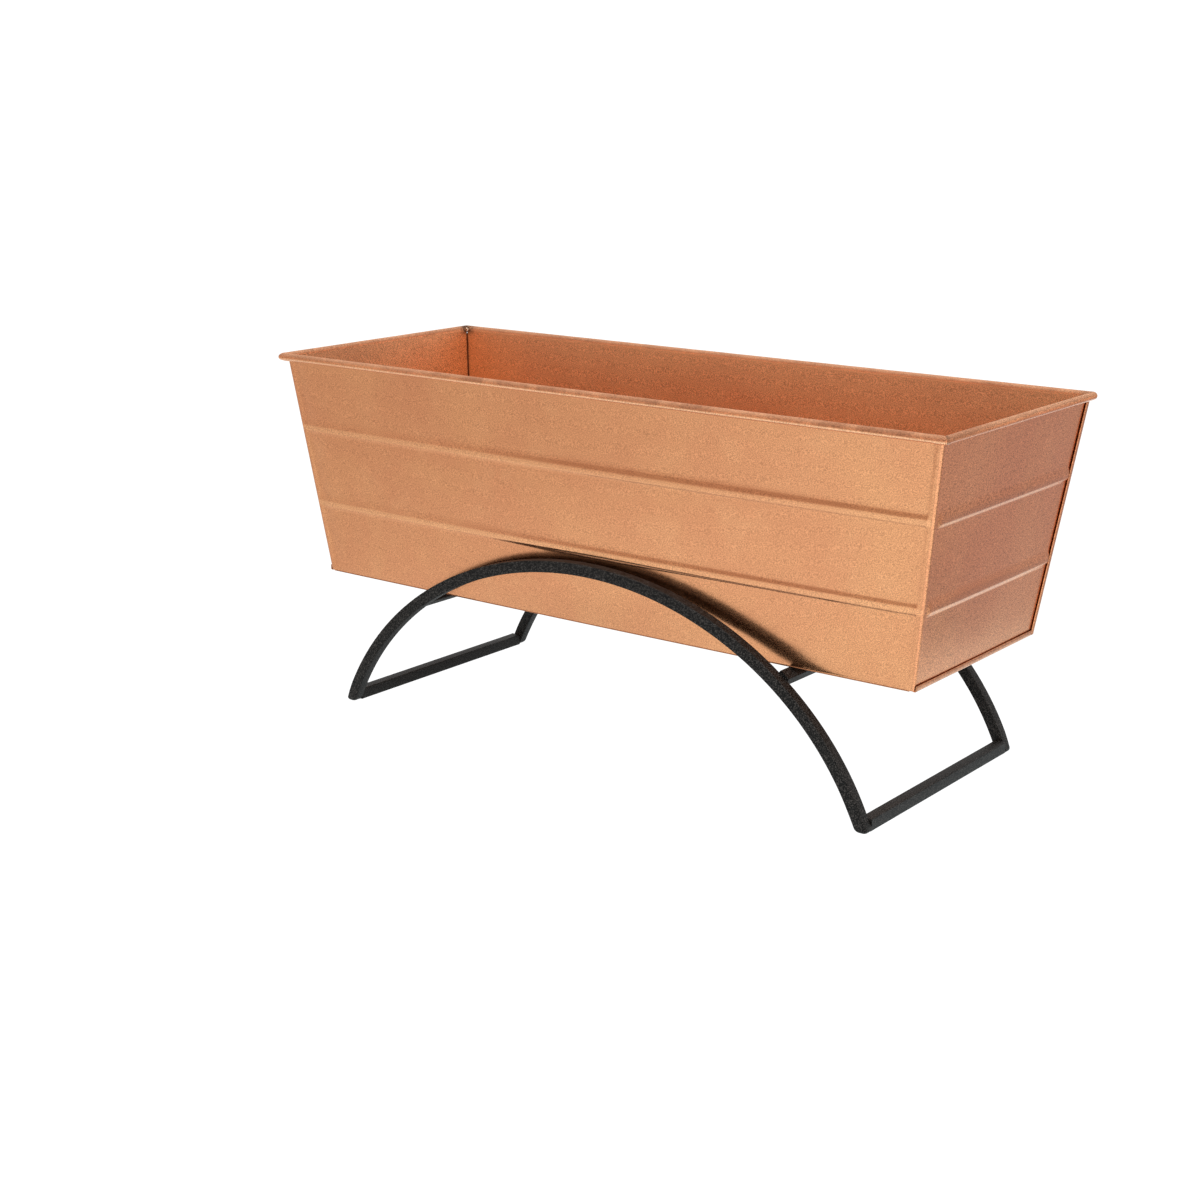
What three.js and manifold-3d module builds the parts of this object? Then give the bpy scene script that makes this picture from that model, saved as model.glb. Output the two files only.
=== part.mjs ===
// A sheet-metal planter box that stands loose on an arched stand of square bar.
// Millimetres. +X runs along the box, -Y is the front and Z = 0 is the floor; the origin is under the box.
import * as THREE from "three";
import { mergeVertices } from "three/addons/utils/BufferGeometryUtils.js";
import Module from "manifold-3d";

const wasm = await Module();
wasm.setup();

// Planter box
const bottomLength = 574; // outside of the end walls, at the bottom
const bottomDepth = 192; // outside of the front and back walls, at the bottom
const rimLength = 628.5; // between the centres of the end beads
const rimDepth = 240; // between the centres of the front and back beads
const wallHeight = 188; // from the underside of the bottom to the bead's centre
const sheet = 0.6; // thickness of the sheet metal
const beadRadius = 3.25; // outside of the rolled rim
const rollEnd = -128; // degrees round the bead at which the rolled edge stops short of the wall
const snipWidth = 0.8; // cut across the bead at each front corner, where two beads meet
const cornerRadius = 3; // outside of the bends between the front wall and the ends
const seamGap = 0.3; // between two sheets that lap, and round the rim wire
const hemWidth = 4.5; // of the folded hems on the ends, and of the flange inside the front wall
const hemThickness = 1.4; // a doubled fold of the sheet

// Pressed ribs
const ribDepth = 1.2; // how far a rib stands out of its wall
const ribHeight = 10;
const ribLevels = [59, 125]; // lower edge of each rib, above the underside of the bottom
const ribShape = [[0, 0], [0.13, 1], [0.26, 1], [0.62, 0.5], [1, 0]]; // shares of the height and the depth
const ribInset = 3.5; // from the corner of the box to the end of a rib
const ribTaper = 2; // length over which a rib runs out

// Solder in the rear corners
const solderSize = [5, 5, 8]; // half sizes of the spot before the walls trim it
const solderDrop = 9; // below the bead's centre

// Stand
const bar = 9.5; // side of the square bar
const barEdge = 0.8; // softened edge of the bar
const seatHeight = 107; // upper edges of the cross bars, where the box rests
const archHalfSpan = 274; // half axis of the ellipse that the arch's outer edge follows
const archHalfRise = 237; // the same, upright
const archTop = 161; // top of the arch above the floor
const archSideClearance = 6.4; // between the box and an arch, level with the arch's top
const footRound = 5; // rounding of the arch's outer lower corners
const footInset = 1.5; // from the arch's end to the outer face of a foot bar
const crossBarProud = 2; // how far a cross bar's outer face stands outside the arch's outer edge
const standShift = 7; // the box stands this much off the stand's centre, to the left
const weldLeg = 3;

// Smoothness
const archSteps = 44;
const beadSteps = 11;
const cornerSteps = 4;
const edgeStep = 0.5; // short run over which an edge changes its course

const copper = new THREE.MeshStandardMaterial({ color: 0xc87d54, roughness: 0.42, metalness: 0.85 });
const steelWire = new THREE.MeshStandardMaterial({ color: 0x9a9a98, roughness: 0.5, metalness: 0.9 });
const solder = new THREE.MeshStandardMaterial({ color: 0x6e6258, roughness: 0.55, metalness: 0.7 });
const blackPaint = new THREE.MeshStandardMaterial({ color: 0x2b2b2c, roughness: 0.6, metalness: 0.2 });

// Levels and slopes of the box
const bottomLevel = seatHeight;
const rimLevel = bottomLevel + wallHeight;
const hemTop = rimLevel - beadRadius - 2 * edgeStep;
const beadOffset = beadRadius - sheet; // of the bead's centre, out of the wall's outer face
const endSlope = ((rimLength - bottomLength) / 2 - beadOffset) / wallHeight;
const sideSlope = ((rimDepth - bottomDepth) / 2 - beadOffset) / wallHeight;
const halfLengthAt = (z) => bottomLength / 2 + (z - bottomLevel) * endSlope;
const halfDepthAt = (z) => bottomDepth / 2 + (z - bottomLevel) * sideSlope;
const hemOut = seamGap + hemThickness;
const radians = THREE.MathUtils.degToRad;

// A manifold-3d solid from a closed geometry, and a geometry from a solid.
function toSolid(geometry) {
  const bare = geometry.clone();
  bare.deleteAttribute("normal");
  bare.deleteAttribute("uv");
  const merged = mergeVertices(bare, 1e-4);
  return new wasm.Manifold(
    new wasm.Mesh({
      numProp: 3,
      vertProperties: new Float32Array(merged.attributes.position.array),
      triVerts: new Uint32Array(merged.index.array),
    }),
  );
}

function toGeometry(solid) {
  const { vertProperties, triVerts } = solid.getMesh();
  const geometry = new THREE.BufferGeometry();
  geometry.setAttribute("position", new THREE.BufferAttribute(vertProperties, 3));
  geometry.setIndex(new THREE.BufferAttribute(triVerts, 1));
  geometry.computeVertexNormals();
  return geometry;
}

// A skin over rings of points. The first half of a ring is one side of its section and the second half is
// the other side, point for point in the opposite order, so strips between the sides close the two ends.
function loft(rings) {
  const count = rings[0].length;
  const last = (rings.length - 1) * count;
  const index = [];
  for (let ring = 0; ring < rings.length - 1; ring++) {
    for (let k = 0; k < count; k++) {
      const here = ring * count + k;
      const next = ring * count + ((k + 1) % count);
      index.push(here, next, next + count, here, next + count, here + count);
    }
  }
  for (let k = 0; k < count / 2 - 1; k++) {
    const [a, b, c, d] = [k, k + 1, count - 2 - k, count - 1 - k];
    index.push(c, b, a, d, c, a);
    index.push(last + a, last + b, last + c, last + a, last + c, last + d);
  }
  const geometry = new THREE.BufferGeometry().setFromPoints(rings.flat());
  geometry.setIndex(index);
  return geometry;
}

// A block with six flat faces: a unit box whose corners are moved to x(side, z), y(side, z) and z(side).
function block(x, y, z) {
  const geometry = new THREE.BoxGeometry(2, 2, 2);
  const at = geometry.attributes.position;
  for (let i = 0; i < at.count; i++) {
    const height = z(at.getZ(i));
    at.setXYZ(i, x(at.getX(i), height), y(at.getY(i), height), height);
  }
  return geometry;
}

// Section of a wall with its ribs and its rolled rim, as points { out, z, face, rolled, rib }: out is measured
// from the wall's outer face at the height "face". It goes up the outside, round the roll and down the inside.
function wallSection(lowEdge) {
  const section = [];
  const add = (out, z, options) => section.push({ out, z, face: z, rolled: false, rib: 0, ...options });
  const ribPoints = (out) =>
    ribLevels.flatMap((level) =>
      ribShape.map(([height, depth]) => {
        const z = bottomLevel + level + height * ribHeight;
        return [out, z, { rib: depth * ribDepth }];
      }),
    );
  const rimPoints = (out) => [0, 1, 2].map((step) => [out, hemTop + step * edgeStep, {}]);
  add(0, lowEdge);
  [...ribPoints(0), ...rimPoints(0)].forEach((point) => add(...point));
  const arc = [];
  for (let step = 0; step <= beadSteps; step++) {
    arc.push(radians(180 + ((rollEnd - 180) * step) / beadSteps));
  }
  const roll = (angles, radius) =>
    angles.forEach((angle) =>
      add(beadOffset + radius * Math.cos(angle), rimLevel + radius * Math.sin(angle), {
        face: rimLevel,
        rolled: true,
      }),
    );
  roll(arc, beadRadius - sheet);
  roll(arc.toReversed(), beadRadius);
  [...ribPoints(-sheet), ...rimPoints(-sheet)].toReversed().forEach((point) => add(...point));
  add(-sheet, lowEdge);
  return section;
}

const outX = (p, ribShare) => halfLengthAt(p.face) + p.out + ribShare * p.rib;
const outY = (p, ribShare) => halfDepthAt(p.face) + p.out + ribShare * p.rib;
const panelLow = bottomLevel + sheet + seamGap; // lower edge of the end walls, just above the bottom sheet

// Front wall and both ends: one sheet bent round the two front corners, its rim snipped there and rolled.
function frontAndEnds() {
  const rearEdge = (p) => {
    const mitred = p.rolled || p.z > hemTop + edgeStep;
    return mitred ? outY(p, 0) - seamGap : halfDepthAt(p.z) - sheet - seamGap;
  };
  const endRuns = [
    [rearEdge, 0],
    [(p) => halfDepthAt(p.face) - hemWidth - seamGap, 0],
    [(p) => halfDepthAt(p.face) - hemWidth - seamGap - edgeStep, 1],
    [(p) => ribInset + ribTaper - halfDepthAt(p.face), 1],
    [(p) => ribInset - halfDepthAt(p.face), 0],
  ];
  const endRings = (side) =>
    endRuns.map(([y, ribShare]) =>
      wallSection(panelLow).map((p) => new THREE.Vector3(side * outX(p, ribShare), y(p), p.z)),
    );
  const cornerRings = (side) => {
    const rings = [];
    for (let step = 0; step <= cornerSteps; step++) {
      const turn = radians((90 * step) / cornerSteps);
      const round = [Math.cos(turn), Math.sin(turn)];
      const square = [Math.min(1, 1 / Math.tan(turn)), Math.min(1, Math.tan(turn))];
      rings.push(
        wallSection(panelLow).map((p) => {
          const [along, across] = p.rolled ? square : round;
          const x = halfLengthAt(p.face) - cornerRadius + (cornerRadius + p.out) * along;
          const y = halfDepthAt(p.face) - cornerRadius + (cornerRadius + p.out) * across;
          return new THREE.Vector3(side * x, -y, p.z);
        }),
      );
    }
    return rings;
  };
  const frontRuns = [
    [ribInset, 0],
    [ribInset + ribTaper, 1],
  ];
  const frontRings = (side) =>
    frontRuns.map(([inset, ribShare]) =>
      wallSection(bottomLevel).map(
        (p) => new THREE.Vector3(side * (halfLengthAt(p.face) - inset), -outY(p, ribShare), p.z),
      ),
    );
  const half = (side) => [...endRings(side), ...cornerRings(side), ...frontRings(side)];
  const rings = [...half(1), ...half(-1).toReversed()];
  let solid = toSolid(loft(rings));
  for (const side of [-1, 1]) {
    const snipLength = 8 * beadRadius; // well past the bead's corner
    const snip = new THREE.BoxGeometry(snipLength, snipWidth, snipLength / 2);
    snip.translate(snipLength / 2, 0, 0);
    snip.rotateZ(radians(side > 0 ? -45 : -135));
    snip.translate(side * halfLengthAt(rimLevel), -halfDepthAt(rimLevel), rimLevel);
    solid = solid.subtract(toSolid(snip));
  }
  return toGeometry(solid);
}

// Back wall and bottom: one sheet, hemmed over the rear and lower edges of both ends.
function backAndBottom() {
  const endEdge = (p) => {
    const mitred = p.rolled || p.z > hemTop;
    return mitred ? outX(p, 0) : halfLengthAt(p.z) + hemOut;
  };
  const runs = [
    [endEdge, 0],
    [(p) => halfLengthAt(p.face) - ribInset, 0],
    [(p) => halfLengthAt(p.face) - ribInset - ribTaper, 1],
  ];
  const half = (side) =>
    runs.map(([x, ribShare]) =>
      wallSection(bottomLevel).map((p) => new THREE.Vector3(side * x(p), outY(p, ribShare), p.z)),
    );
  const rings = [...half(-1), ...half(1).toReversed()];
  let solid = toSolid(loft(rings));
  const between = (low, high) => (side) => (side < 0 ? low : high);
  const frontEdge = bottomDepth / 2 - sheet - seamGap; // of the bottom sheet, inside the front wall
  const bottom = block(
    (side, z) => side * (halfLengthAt(z) + hemOut),
    (side, z) => (side < 0 ? -frontEdge : halfDepthAt(z)),
    between(bottomLevel, bottomLevel + sheet),
  );
  const flange = block(
    (side) => side * (bottomLength / 2 - sheet - seamGap - cornerRadius),
    (side, z) => (side < 0 ? 0 : sheet) - (halfDepthAt(z) - sheet - seamGap),
    between(bottomLevel, bottomLevel + hemWidth),
  );
  solid = solid.add(toSolid(bottom)).add(toSolid(flange));
  for (const end of [-1, 1]) {
    const acrossHem = (side, z) => {
      const outward = side * end > 0 ? hemOut : seamGap;
      return end * (halfLengthAt(z) + outward);
    };
    const lowerHem = block(
      acrossHem,
      (side, z) => (side < 0 ? z - bottomLevel - frontEdge : halfDepthAt(z)),
      between(bottomLevel, bottomLevel + hemWidth),
    );
    const rearHem = block(
      acrossHem,
      (side, z) => halfDepthAt(z) - (side < 0 ? hemWidth : 0),
      between(bottomLevel, hemTop),
    );
    solid = solid.add(toSolid(lowerHem)).add(toSolid(rearHem));
  }
  return toGeometry(solid);
}

// Wire inside the rolled rim, from the middle of the back round to the middle of the back.
function rimWire() {
  const radius = beadRadius - sheet - seamGap;
  const section = new THREE.Shape().absarc(0, 0, radius, 0, 2 * Math.PI).getPoints(beadSteps).slice(0, -1);
  const ring = (x, y, acrossX, acrossY) =>
    section.map((p) => new THREE.Vector3(x + acrossX * p.x, y + acrossY * p.x, rimLevel + p.y));
  const corner = (sideX, sideY) => ring((sideX * rimLength) / 2, (sideY * rimDepth) / 2, sideX, sideY);
  const rings = [
    ring(seamGap, rimDepth / 2, 0, 1),
    corner(1, 1),
    corner(1, -1),
    corner(-1, -1),
    corner(-1, 1),
    ring(-seamGap, rimDepth / 2, 0, 1),
  ];
  return loft(rings);
}

// Solder spot in a rear inside corner, trimmed by the two walls that it joins.
function rearSolder(side) {
  const level = rimLevel - solderDrop;
  const spot = new THREE.SphereGeometry(1, 16, 10).scale(...solderSize);
  spot.translate(side * halfLengthAt(level), halfDepthAt(level), level);
  const inside = block(
    (edge, z) => edge * (halfLengthAt(z) - sheet - seamGap),
    (edge, z) => edge * (halfDepthAt(z) - sheet - seamGap),
    (edge) => (edge < 0 ? bottomLevel : rimLevel),
  );
  return toGeometry(toSolid(spot).intersect(toSolid(inside)));
}

// The arch's edges: depth 0 is the outer edge, depth "bar" the inner one; turn 0 is the top.
const archCentre = archTop - archHalfRise;
function archEdge(turn, depth) {
  const point = new THREE.Vector2(archHalfSpan * Math.sin(turn), archCentre + archHalfRise * Math.cos(turn));
  const normal = new THREE.Vector2(Math.sin(turn) / archHalfSpan, Math.cos(turn) / archHalfRise).normalize();
  return point.addScaledVector(normal, -depth);
}

function turnAtHeight(height, depth) {
  let low = 0;
  let high = Math.PI / 2;
  for (let halving = 0; halving < 50; halving++) {
    const middle = (low + high) / 2;
    if (archEdge(middle, depth).y > height) low = middle;
    else high = middle;
  }
  return low;
}

const archXAt = (height, depth) => archEdge(turnAtHeight(height, depth), depth).x;

function arch() {
  const outerEnd = turnAtHeight(footRound, 0);
  const innerEnd = turnAtHeight(0, bar);
  const half = (end, depth) =>
    Array.from({ length: archSteps / 2 + 1 }, (_, step) => archEdge((2 * end * step) / archSteps, depth));
  const outer = half(outerEnd, 0);
  const corner = archXAt(0, 0);
  const foot = new THREE.QuadraticBezierCurve(
    outer.at(-1),
    new THREE.Vector2(corner, 0),
    new THREE.Vector2(corner - footRound, 0),
  );
  const rightSide = [...outer, ...foot.getPoints(cornerSteps).slice(1), ...half(innerEnd, bar).toReversed()];
  const leftSide = rightSide
    .filter((point) => point.x > edgeStep)
    .map((point) => new THREE.Vector2(-point.x, point.y))
    .toReversed();
  const shape = new THREE.Shape([...rightSide, ...leftSide]);
  const geometry = new THREE.ExtrudeGeometry(shape, {
    depth: bar - 2 * barEdge,
    bevelEnabled: true,
    bevelSize: barEdge,
    bevelThickness: barEdge,
    bevelOffset: -barEdge,
    bevelSegments: 1,
  });
  return geometry.translate(0, 0, barEdge);
}

// A straight bar along its own Z, centred on its axis, with softened edges.
function straightBar(length) {
  const half = bar / 2;
  const soft = half - barEdge;
  const quarter = [new THREE.Vector2(half, -soft), new THREE.Vector2(half, soft)];
  const outline = [0, 90, 180, 270].flatMap((turn) =>
    quarter.map((point) => point.clone().rotateAround(new THREE.Vector2(), radians(turn))),
  );
  return new THREE.ExtrudeGeometry(new THREE.Shape(outline), { depth: length, bevelEnabled: false });
}

// Fillet weld at the end of a cross bar, along its own Z, with its square corner at the origin.
function fillet(length) {
  const outline = [
    new THREE.Vector2(0, 0),
    new THREE.Vector2(0, -weldLeg),
    new THREE.Vector2(weldLeg / 3, -weldLeg / 2),
    new THREE.Vector2(weldLeg / 2, -weldLeg / 3),
    new THREE.Vector2(weldLeg, 0),
  ];
  return new THREE.ExtrudeGeometry(new THREE.Shape(outline), { depth: length, bevelEnabled: false });
}

function named(name, geometry, material) {
  const mesh = new THREE.Mesh(geometry, material);
  mesh.name = name;
  return mesh;
}

const planterBox = new THREE.Group();
planterBox.add(named("front_and_end_panels", frontAndEnds(), copper));
planterBox.add(named("back_and_bottom_panel", backAndBottom(), copper));
planterBox.add(named("rim_wire", rimWire(), steelWire));
planterBox.add(named("left_rear_solder", rearSolder(-1), solder));
planterBox.add(named("right_rear_solder", rearSolder(1), solder));

const stand = new THREE.Group();
stand.position.x = standShift;

// The arches stand clear of the box; their distance is set to the nearest half millimetre.
const archInner = Math.round(2 * (halfDepthAt(archTop) + archSideClearance)) / 2;
const archNames = [
  ["front_arch", -archInner],
  ["rear_arch", archInner + bar],
];
for (const [name, y] of archNames) {
  const mesh = named(name, arch(), blackPaint);
  mesh.rotation.x = Math.PI / 2;
  mesh.position.y = y;
  stand.add(mesh);
}

function crosswiseBar(name, x, z, tilt) {
  const mesh = named(name, straightBar(2 * archInner).rotateZ(-tilt), blackPaint);
  mesh.rotation.x = Math.PI / 2;
  mesh.position.set(x, archInner, z);
  stand.add(mesh);
}

const footX = archXAt(0, 0) - footInset - bar / 2;
crosswiseBar("left_foot_bar", -footX, bar / 2, 0);
crosswiseBar("right_foot_bar", footX, bar / 2, 0);

// The right cross bar's centre line for a turn round the arch: the bar lies along the arch's slope there.
function crossBarAt(turn) {
  const { x, y } = archEdge(turn, bar / 2 - crossBarProud);
  const tilt = Math.atan2(archHalfRise * Math.sin(turn), archHalfSpan * Math.cos(turn));
  const soft = bar / 2 - barEdge;
  const reach = soft * Math.sin(tilt) + (bar / 2) * Math.cos(tilt); // of its upper edge above the centre line
  return { x, z: y, tilt, top: y + reach };
}

let [early, late] = [0, Math.PI / 2];
for (let halving = 0; halving < 50; halving++) {
  const middle = (early + late) / 2;
  if (crossBarAt(middle).top > seatHeight) early = middle;
  else late = middle;
}
const seat = crossBarAt(early);

for (const [sideName, side] of [["left", -1], ["right", 1]]) {
  const barName = sideName + "_cross_bar";
  const tilt = side * seat.tilt;
  crosswiseBar(barName, side * seat.x, seat.z, tilt);
  // The welds run down the bar's face that looks to the middle of the stand, where an arch lies behind it.
  const outward = new THREE.Vector3(Math.sin(tilt), 0, Math.cos(tilt));
  const downhill = new THREE.Vector3(side * Math.cos(tilt), 0, -side * Math.sin(tilt));
  const upperEnd = bar / 2 - crossBarProud - 2 * barEdge;
  const lowerEnd = barEdge - bar / 2;
  for (const [end, facing] of [["front", 1], ["rear", -1]]) {
    const weld = named(barName + "_" + end + "_weld", fillet(upperEnd - lowerEnd), blackPaint);
    const across = new THREE.Vector3(0, facing, 0);
    const along = across.clone().cross(downhill);
    weld.matrix.makeBasis(across, downhill, along);
    weld.quaternion.setFromRotationMatrix(weld.matrix);
    const start = along.dot(outward) > 0 ? lowerEnd : upperEnd;
    weld.position.set(side * seat.x, -facing * archInner, seat.z);
    weld.position.addScaledVector(downhill, -bar / 2).addScaledVector(outward, start);
    stand.add(weld);
  }
}

const planterWithStand = new THREE.Group();
planterWithStand.add(planterBox, stand);

export default planterWithStand;
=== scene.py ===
import math
import bmesh
import bpy
from mathutils import Matrix, Vector, noise


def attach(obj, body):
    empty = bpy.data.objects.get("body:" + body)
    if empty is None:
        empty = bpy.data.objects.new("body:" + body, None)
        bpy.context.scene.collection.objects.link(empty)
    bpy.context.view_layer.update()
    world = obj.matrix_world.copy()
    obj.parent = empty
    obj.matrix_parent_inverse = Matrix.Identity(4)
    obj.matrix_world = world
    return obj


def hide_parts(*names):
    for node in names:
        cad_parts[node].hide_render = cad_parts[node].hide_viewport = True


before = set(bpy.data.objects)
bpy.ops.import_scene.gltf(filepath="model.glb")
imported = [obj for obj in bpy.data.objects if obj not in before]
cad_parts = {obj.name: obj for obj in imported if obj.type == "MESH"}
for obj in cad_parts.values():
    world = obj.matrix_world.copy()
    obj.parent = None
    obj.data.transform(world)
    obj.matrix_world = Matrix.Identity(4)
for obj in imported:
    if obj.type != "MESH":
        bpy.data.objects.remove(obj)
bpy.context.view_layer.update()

# Planter box with stand. Sizes are in millimetres here and become metres when a piece is made.
# +X runs along the box, -Y is the front, Z = 0 is the floor.
mm = 0.001
print("frame loaded:", len(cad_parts), "nodes")


def smooth(value, low, high):
    share = min(max((value - low) / (high - low), 0), 1)
    return share * share * (3 - 2 * share)


def arc(start, end, steps):
    return [start + (end - start) * step / steps for step in range(steps + 1)]


def wobble(x, y, z):
    return noise.noise(Vector((x, y, z)))


# shader tools
class Signal:
    # an output socket that can stand in a sum: each operator adds a Math node
    def __init__(self, finish, socket):
        self.finish = finish
        self.socket = socket

    def __add__(self, other):
        return self.finish.math("ADD", self, other)

    def __sub__(self, other):
        return self.finish.math("SUBTRACT", self, other)

    def __mul__(self, other):
        return self.finish.math("MULTIPLY", self, other)

    def __rsub__(self, other):
        return self.finish.math("SUBTRACT", other, self)

    __radd__ = __add__
    __rmul__ = __mul__


class Finish:
    def __init__(self, owner):
        owner.use_nodes = True
        self.owner = owner
        self.tree = owner.node_tree
        self.tree.nodes.clear()

    def node(self, kind, settings, sockets, output=0):
        made = self.tree.nodes.new("ShaderNode" + kind)
        for name, value in settings.items():
            setattr(made, name, value)
        for name, value in sockets.items():
            if isinstance(value, Signal):
                self.tree.links.new(value.socket, made.inputs[name])
            else:
                made.inputs[name].default_value = value
        return Signal(self, made.outputs[output]) if made.outputs else None

    def math(self, operation, first, second):
        return self.node("Math", {"operation": operation}, {0: first, 1: second})

    def absolute(self, value):
        return self.node("Math", {"operation": "ABSOLUTE"}, {0: value})

    def mix(self, share, first, second, way="MIX"):
        settings = {"data_type": "RGBA", "blend_type": way}
        return self.node("Mix", settings, {0: share, 6: first, 7: second}, 2)

    def place(self, stretch=(1, 1, 1)):
        spot = self.node("TexCoord", {}, {}, "Object")
        return self.node("VectorMath", {"operation": "MULTIPLY"}, {0: spot, 1: stretch})

    def axis(self, spot, name):
        return self.node("SeparateXYZ", {}, {0: spot}, name)

    def cloud(self, spot, scale, detail, rough, twist=0):
        sockets = {"Vector": spot, "Scale": scale, "Detail": detail, "Roughness": rough, "Distortion": twist}
        return self.node("TexNoise", {}, sockets)

    def between(self, value, low, high, start=0, end=1):
        settings = {"interpolation_type": "SMOOTHSTEP"}
        sockets = {"Value": value, "From Min": low, "From Max": high, "To Min": start, "To Max": end}
        return self.node("MapRange", settings, sockets)

    def share(self, measures, areas):
        # An area is (strength, band, band, ...) and shows where all its bands do. A band is a measure's name
        # with the two values between which it fades in, and after them its start and end if not 0 and 1.
        # A band of a name alone is that measure as it is. Areas are added.
        total = 0
        for strength, *bands in areas:
            for name, *limits in bands:
                band = self.between(measures[name], *limits) if limits else measures[name]
                strength = band * strength
            total = strength + total
        return total

    def lay(self, colour, marks, tones, measures):
        # lays marks over a colour, in their order; a mark is (tone's name, area, area, ...)
        for tone, *areas in marks.values():
            colour = self.mix(self.share(measures, areas), colour, tones[tone])
        return colour

    def bump(self, height, distance, under=None):
        sockets = {"Height": height, "Distance": distance, "Strength": 1}
        if under is not None:
            sockets["Normal"] = under
        return self.node("Bump", {}, sockets)

    def surface(self, sockets):
        shader = self.node("BsdfPrincipled", {}, sockets)
        self.node("OutputMaterial", {}, {"Surface": shader})
        return self.owner


# mesh tools
def loft(mesh, rings, wanted=None, solid=False, lined=False):
    # Skins a row of rings. A sheet's ring goes up one face and comes back down the other, point for point,
    # so strips between the faces shut its ends; a solid ring is shut with one face. The way back of a lined
    # sheet takes the piece's second finish.
    rows = [[mesh.verts.new(point) for point in ring] for ring in rings]
    count = len(rings[0])
    for station in range(len(rows) - 1):
        here, there = rows[station], rows[station + 1]
        for edge in range(count):
            after = (edge + 1) % count
            if wanted is None or wanted(station, edge):
                face = mesh.faces.new((here[edge], here[after], there[after], there[edge]))
                face.material_index = int(lined and edge >= count // 2)
    for row in (rows[0], rows[-1]):
        if solid:
            mesh.faces.new(row)
        else:
            for k in range(count // 2 - 1):
                mesh.faces.new((row[k], row[k + 1], row[count - 2 - k], row[count - 1 - k]))


def makePiece(name, mesh, finish, body, nodes, sharpAngle=34, weld=0.002):
    bmesh.ops.remove_doubles(mesh, verts=mesh.verts, dist=weld)
    bmesh.ops.recalc_face_normals(mesh, faces=mesh.faces)
    bmesh.ops.scale(mesh, vec=(mm, mm, mm), verts=mesh.verts)
    data = bpy.data.meshes.new(name)
    loose = [edge for edge in mesh.edges if len(edge.link_faces) != 2]
    print(" ", name, len(mesh.faces), "faces,", len(loose), "edges not shared by two faces")
    mesh.to_mesh(data)
    mesh.free()
    for polygon in data.polygons:
        polygon.use_smooth = True
    data.set_sharp_from_angle(angle=math.radians(sharpAngle))
    data.materials.append(finish)
    piece = bpy.data.objects.new(name, data)
    bpy.context.collection.objects.link(piece)
    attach(piece, body)
    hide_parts(*nodes)
    return piece


# planter box: walls
walls = {
    "bottomLength": 574,  # outside, at the bottom
    "bottomDepth": 192,
    "bottomLevel": 107,  # where the box rests on the stand
    "rimLevel": 295,  # centre of the rolled rim
    "endSlope": 24.6 / 188,  # how far a wall leans out, for its height
    "sideSlope": 21.35 / 188,
    "sheet": 0.6,
    "cornerRadius": 2.4,
    "seamGap": 0.3,
    "wave": 0.3,  # unevenness of the flat sheet
    "cornerPinch": 0.9,  # the sheet draws in a little just before the bent front corners
    "sideBow": 3.4,  # how far a long wall bows out at its middle
    "endBow": 0.5,
}
ribs = {
    "levels": (59, 125),  # lower edges, above the bottom
    "depth": 1.2,
    # height above the level and share of the depth, where a rib is pressed crisply and where softly
    "crisp": ((-1.5, 0), (0.9, 1), (4.1, 1), (8.6, 0.14), (11, 0)),
    "soft": ((-2.6, 0), (0.9, 0.62), (2.4, 0.62), (11, 0)),
    "crispFrom": (-170, 60),  # along the front, from soft to crisp
    "rearCrispness": 0.75,
    "endRelief": 1.6,  # depth of the ends' ribs, as a share of the front's
    "ease": 0.45,  # roundness of the bends between those heights
    "inset": 3.5,  # from the corner of the box
    "taper": 2.2,
    "endTaper": 6,
    "stripStop": (4.7, 5.5),  # where an end's rib runs out beside the folded strip
}
bottomLevel = walls["bottomLevel"]
rimLevel = walls["rimLevel"]
sheet = walls["sheet"]
lapInset = sheet + walls["seamGap"]
farIn = 60  # stands for any distance at which a corner no longer shows


def halfLengthAt(level):
    return walls["bottomLength"] / 2 + (level - bottomLevel) * walls["endSlope"]


def halfDepthAt(level):
    return walls["bottomDepth"] / 2 + (level - bottomLevel) * walls["sideSlope"]


def ribOut(level, crispness):
    out = 0
    for foot in ribs["levels"]:
        up = level - bottomLevel - foot
        for profile, weight in ((ribs["crisp"], crispness), (ribs["soft"], 1 - crispness)):
            for (low, fromShare), (high, toShare) in zip(profile, profile[1:]):
                if low < up <= high:
                    straight = (up - low) / (high - low)
                    ease = ribs["ease"] * smooth(up, low, high) + (1 - ribs["ease"]) * straight
                    out += weight * ribs["depth"] * (fromShare + (toShare - fromShare) * ease)
    return out


def wallLevels(start):
    # levels of the points up a wall, close together at the ribs and at both edges
    lower = (-3.2, -2.5, -1.9, -1.4, -1, -0.7, -0.4, -0.1, 0.2, 0.5, 0.9, 1.4, 2.2, 3.6, 4.8)
    upper = (5.3, 5.7, 6.1, 6.5, 6.9, 7.3, 7.7, 8.3, 9, 9.8, 10.7, 12)
    widest = 7.5
    levels = [start]
    stops = [bottomLevel + foot + step for foot in ribs["levels"] for step in lower + upper]
    stops += [rimLevel - 6, rimLevel - 4, rimLevel - 2, rimLevel]
    for stop in stops:
        gap = stop - levels[-1]
        parts = max(1, round(gap / widest))
        base = levels[-1]
        levels += [base + gap * part / parts for part in range(1, parts + 1)]
    return levels


def fromCorner(shift, share):
    # rough distance to the nearer end of a long wall; it only counts beside a corner
    return (1 - abs(share)) * farIn + abs(shift) if abs(share) > 0.8 else farIn


def calmAt(nearest):
    # how freely the sheet waves, by the distance to a corner
    return smooth(nearest, 4, 30)


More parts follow.
